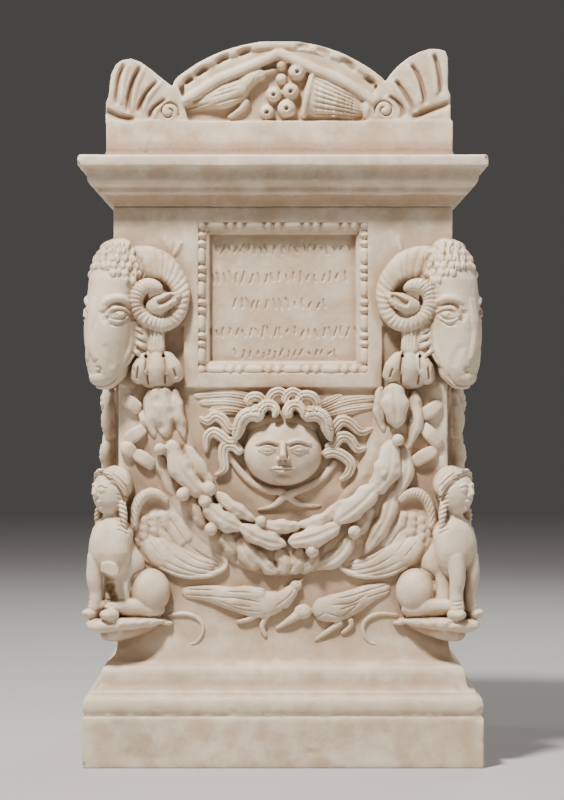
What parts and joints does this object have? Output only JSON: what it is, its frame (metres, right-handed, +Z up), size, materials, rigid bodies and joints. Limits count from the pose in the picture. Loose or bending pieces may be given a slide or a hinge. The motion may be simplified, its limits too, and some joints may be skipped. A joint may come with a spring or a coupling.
{
  "type": "cinerary box",
  "caption": "Carved marble ash chest with a deep box cavity and a loose pedimented lid, for holding cremated remains.",
  "frame": {"origin": "on the ground, under the middle of the chest's plinth", "axes": "+Z up, -Y towards the viewer of the carved front, +X to that viewer's right"},
  "size_m": [0.446, 0.372, 0.7933],
  "materials": {
    "chest_marble": "carved and worn white marble with a warm patina, grey veins and dirt in the recesses",
    "lid_marble": "carved and worn white marble, a little paler and greyer than the chest"
  },
  "bodies": {
    "root": {"chest": "chest_marble", "lid": "lid_marble"}
  },
  "joints": []
}
